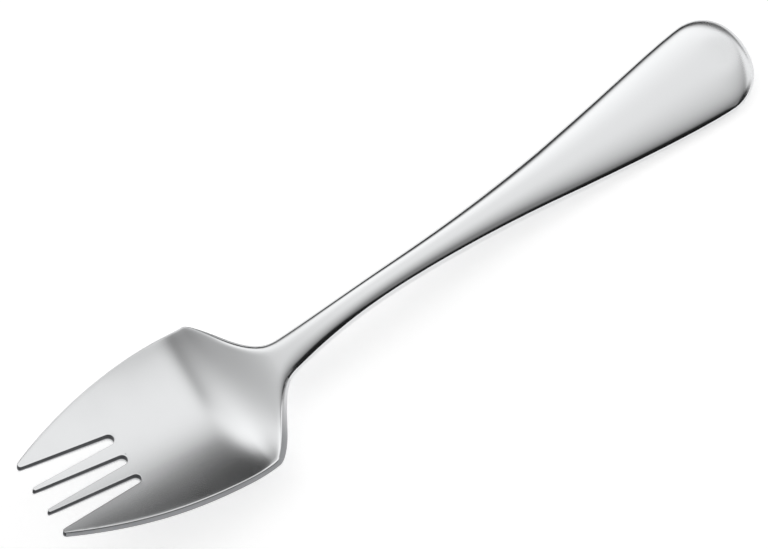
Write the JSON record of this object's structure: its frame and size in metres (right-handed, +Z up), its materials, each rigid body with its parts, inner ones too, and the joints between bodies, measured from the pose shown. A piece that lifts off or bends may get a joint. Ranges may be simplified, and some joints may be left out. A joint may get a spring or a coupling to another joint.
{
  "type": "buffet fork",
  "caption": "One-piece polished stainless steel serving fork with a broad dished head, angular shoulders, tapering tines and a crowned teardrop handle.",
  "frame": {"origin": "centre of the fork's outline at table height, the fork lying with the hollow of its bowl upwards", "axes": "+X along the fork from the tine tips to the end of the handle, +Z up from the table, +Y to the left seen from the tips towards the handle"},
  "size_m": [0.1799, 0.04, 0.0193],
  "materials": {
    "polished_steel": "mirror-polished stainless steel, not plated",
    "satin_steel": "softly polished stainless steel"
  },
  "bodies": {
    "root": {"handle": "polished_steel", "neck": "polished_steel", "bowl": "satin_steel", "outer_tine_left": "satin_steel", "inner_tine_left": "satin_steel", "inner_tine_right": "satin_steel", "outer_tine_right": "satin_steel"}
  },
  "joints": []
}
